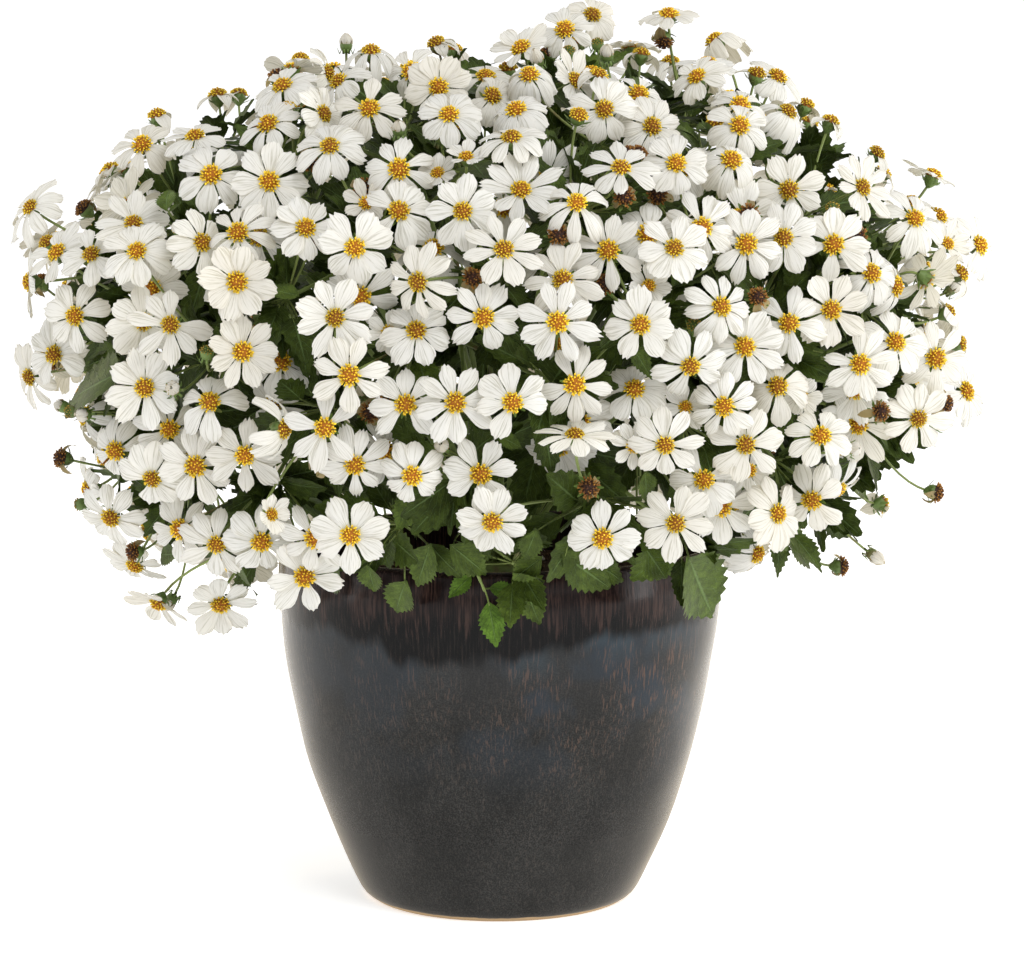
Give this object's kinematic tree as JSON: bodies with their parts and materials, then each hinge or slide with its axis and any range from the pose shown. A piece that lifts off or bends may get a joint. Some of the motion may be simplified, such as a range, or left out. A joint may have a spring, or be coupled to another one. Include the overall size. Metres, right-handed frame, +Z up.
{
  "type": "potted bidens",
  "caption": "Bushy bidens in full white flower, growing in potting soil in a dark glazed round pot that narrows to its foot.",
  "frame": {"origin": "middle of the pot's foot, on the surface that it stands on; the plant's box is centred on it to within 5 mm", "axes": "+Z up along the pot's axis, -Y towards the viewer of the picture, +X to the viewer's right, along the plant's widest extent"},
  "size_m": [0.629, 0.5856, 0.584],
  "materials": {
    "pot_glaze": "gloss",
    "potting_mix": "matte",
    "green_stem": "satin",
    "flowering_shoot": "satin"
  },
  "bodies": {
    "root": {"pot": "pot_glaze", "potting_soil": "potting_mix", "crown": "green_stem", "main_stem_01": "green_stem", "main_stem_02": "green_stem", "main_stem_03": "green_stem", "main_stem_04": "green_stem", "main_stem_05": "green_stem", "main_stem_06": "green_stem", "main_stem_07": "green_stem", "main_stem_08": "green_stem", "main_stem_09": "green_stem", "main_stem_10": "green_stem", "main_stem_11": "green_stem", "main_stem_12": "green_stem", "main_stem_13": "green_stem", "main_stem_14": "green_stem", "main_stem_15": "green_stem", "main_stem_16": "green_stem", "main_stem_17": "green_stem", "main_stem_18": "green_stem", "main_stem_19": "green_stem", "main_stem_20": "green_stem", "main_stem_21": "green_stem", "main_stem_22": "green_stem", "main_stem_23": "green_stem", "main_stem_24": "green_stem", "flowering_shoot_01": "flowering_shoot", "flowering_shoot_02": "flowering_shoot", "flowering_shoot_03": "flowering_shoot", "flowering_shoot_04": "flowering_shoot", "flowering_shoot_05": "flowering_shoot", "flowering_shoot_06": "flowering_shoot", "flowering_shoot_07": "flowering_shoot", "flowering_shoot_08": "flowering_shoot", "flowering_shoot_09": "flowering_shoot", "flowering_shoot_10": "flowering_shoot", "flowering_shoot_11": "flowering_shoot", "flowering_shoot_12": "flowering_shoot", "flowering_shoot_13": "flowering_shoot", "flowering_shoot_14": "flowering_shoot", "flowering_shoot_15": "flowering_shoot", "flowering_shoot_16": "flowering_shoot", "flowering_shoot_17": "flowering_shoot", "flowering_shoot_18": "flowering_shoot", "flowering_shoot_19": "flowering_shoot", "flowering_shoot_20": "flowering_shoot", "flowering_shoot_21": "flowering_shoot", "flowering_shoot_22": "flowering_shoot", "flowering_shoot_23": "flowering_shoot", "flowering_shoot_24": "flowering_shoot"}
  },
  "joints": []
}
